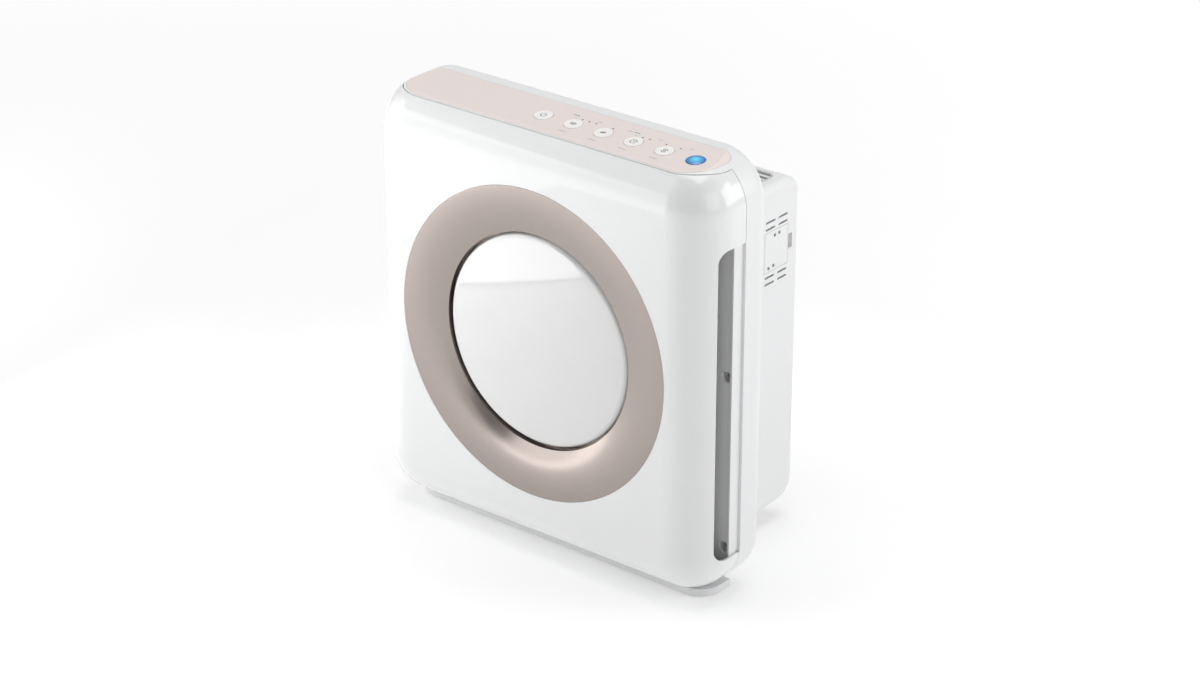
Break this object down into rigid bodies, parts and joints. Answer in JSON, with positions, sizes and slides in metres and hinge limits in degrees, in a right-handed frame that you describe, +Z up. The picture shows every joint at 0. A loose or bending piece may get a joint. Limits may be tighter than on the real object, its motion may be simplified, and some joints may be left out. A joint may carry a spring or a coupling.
{
  "type": "air purifier",
  "caption": "Free-standing room air purifier: rounded square front with a bell ring and disc, side inlets, top touch panel, filters behind the cover, and a fan box with a top outlet behind.",
  "frame": {"origin": "on the floor, under the middle of the width and of the depth", "axes": "+X to the right seen from the front, +Y to the back, +Z up; the disc on the cover faces -Y"},
  "size_m": [0.427, 0.244, 0.465],
  "materials": {
    "white_shell": "satin",
    "disc_white": "high gloss",
    "champagne": "satin metallic",
    "button_white": "satin",
    "inner_grey": "matte",
    "lens_blue": "translucent gloss",
    "light_pipe": "translucent gloss",
    "fan_plastic": "matte",
    "mesh": "woven",
    "carbon": "granular",
    "filter_paper": "pleated",
    "filter_card": "matte",
    "tab": "woven",
    "magnet": "nickel plated",
    "screw": "zinc plated",
    "shaft_steel": "ground",
    "motor_steel": "satin",
    "motor_core": "laminated",
    "board_green": "solder mask",
    "electronics": "matte",
    "post": "matte",
    "rubber_dark": "matte"
  },
  "bodies": {
    "housing": {"main_housing": "white_shell", "rear_housing": "white_shell", "base_stand": "white_shell", "control_panel": "champagne", "filter_bay": "inner_grey", "outlet_grille": "inner_grey", "panel_tray": "inner_grey", "sensor_bracket": "inner_grey", "air_quality_lens": "lens_blue", "indicator_light_pipes": "light_pipe", "fan_scroll": "fan_plastic", "inlet_bell": "fan_plastic", "inlet_guard": "fan_plastic", "bay_magnets": "magnet", "bay_screws": "screw", "board_screws": "screw", "rear_screws": "screw", "motor_screws": "screw", "motor_bearings": "shaft_steel", "motor_housing": "motor_steel", "motor_bracket": "motor_steel", "motor_stator": "motor_core", "panel_board": "board_green", "power_board": "board_green", "tact_switches": "electronics", "power_parts": "electronics", "particle_sensor": "electronics", "ionizer_module": "electronics", "board_posts": "post", "rubber_feet": "rubber_dark", "cord_gland": "rubber_dark"},
    "cover": {"front_cover": "white_shell", "cover_ring": "champagne", "cover_disc": "disc_white", "cover_magnets": "magnet"},
    "prefilter": {"prefilter_frame": "inner_grey", "prefilter_mesh": "mesh"},
    "carbon_filter": {"carbon_frame": "filter_card", "carbon_media": "carbon"},
    "hepa_filter": {"hepa_frame": "filter_card", "hepa_media": "filter_paper", "hepa_pull_tabs": "tab"},
    "power_key": {"power_button": "button_white"},
    "speed_key": {"speed_button": "button_white"},
    "ionizer_key": {"ionizer_button": "button_white"},
    "timer_key": {"timer_button": "button_white"},
    "reset_key": {"filter_reset_button": "button_white"},
    "sensor_hatch": {"sensor_door": "white_shell"},
    "rotor": {"impeller": "fan_plastic", "impeller_nut": "screw", "motor_shaft": "shaft_steel", "motor_rotor": "motor_core"}
  },
  "joints": [
    {"name": "cover_slide", "type": "slide", "parent": "housing", "child": "cover", "axis": [0, -1, 0], "range_m": [0, 0.4]},
    {"name": "prefilter_slide", "type": "slide", "parent": "housing", "child": "prefilter", "axis": [0, -1, 0], "range_m": [0, 0.3]},
    {"name": "carbon_slide", "type": "slide", "parent": "housing", "child": "carbon_filter", "axis": [0, -1, 0], "range_m": [0, 0.2]},
    {"name": "hepa_slide", "type": "slide", "parent": "housing", "child": "hepa_filter", "axis": [0, -1, 0], "range_m": [0, 0.1]},
    {"name": "power_press", "type": "slide", "parent": "housing", "child": "power_key", "axis": [0, 0.1045, -0.9945], "range_m": [0, 0.0008], "stiffness_N_per_m": 2000, "springref_m": -0.0001},
    {"name": "speed_press", "type": "slide", "parent": "housing", "child": "speed_key", "axis": [0, 0.1045, -0.9945], "range_m": [0, 0.0008], "stiffness_N_per_m": 2000, "springref_m": -0.0001},
    {"name": "ionizer_press", "type": "slide", "parent": "housing", "child": "ionizer_key", "axis": [0, 0.1045, -0.9945], "range_m": [0, 0.0008], "stiffness_N_per_m": 2000, "springref_m": -0.0001},
    {"name": "timer_press", "type": "slide", "parent": "housing", "child": "timer_key", "axis": [0, 0.1045, -0.9945], "range_m": [0, 0.0008], "stiffness_N_per_m": 2000, "springref_m": -0.0001},
    {"name": "reset_press", "type": "slide", "parent": "housing", "child": "reset_key", "axis": [0, 0.1045, -0.9945], "range_m": [0, 0.0008], "stiffness_N_per_m": 2000, "springref_m": -0.0001},
    {"name": "hatch_hinge", "type": "hinge", "parent": "housing", "child": "sensor_hatch", "pos_m": [0.1446, 0.0652, 0.3115], "axis": [0, 0, -1], "range_deg": [0, 95]},
    {"name": "impeller_spin", "type": "hinge", "parent": "housing", "child": "rotor", "pos_m": [-0.006, 0.045, 0.16], "axis": [0, 1, 0], "continuous": true}
  ],
  "couplings": [
    {"joint": "prefilter_slide", "follows": "cover_slide", "ratio": 0.75},
    {"joint": "carbon_slide", "follows": "cover_slide", "ratio": 0.5},
    {"joint": "hepa_slide", "follows": "cover_slide", "ratio": 0.25}
  ]
}
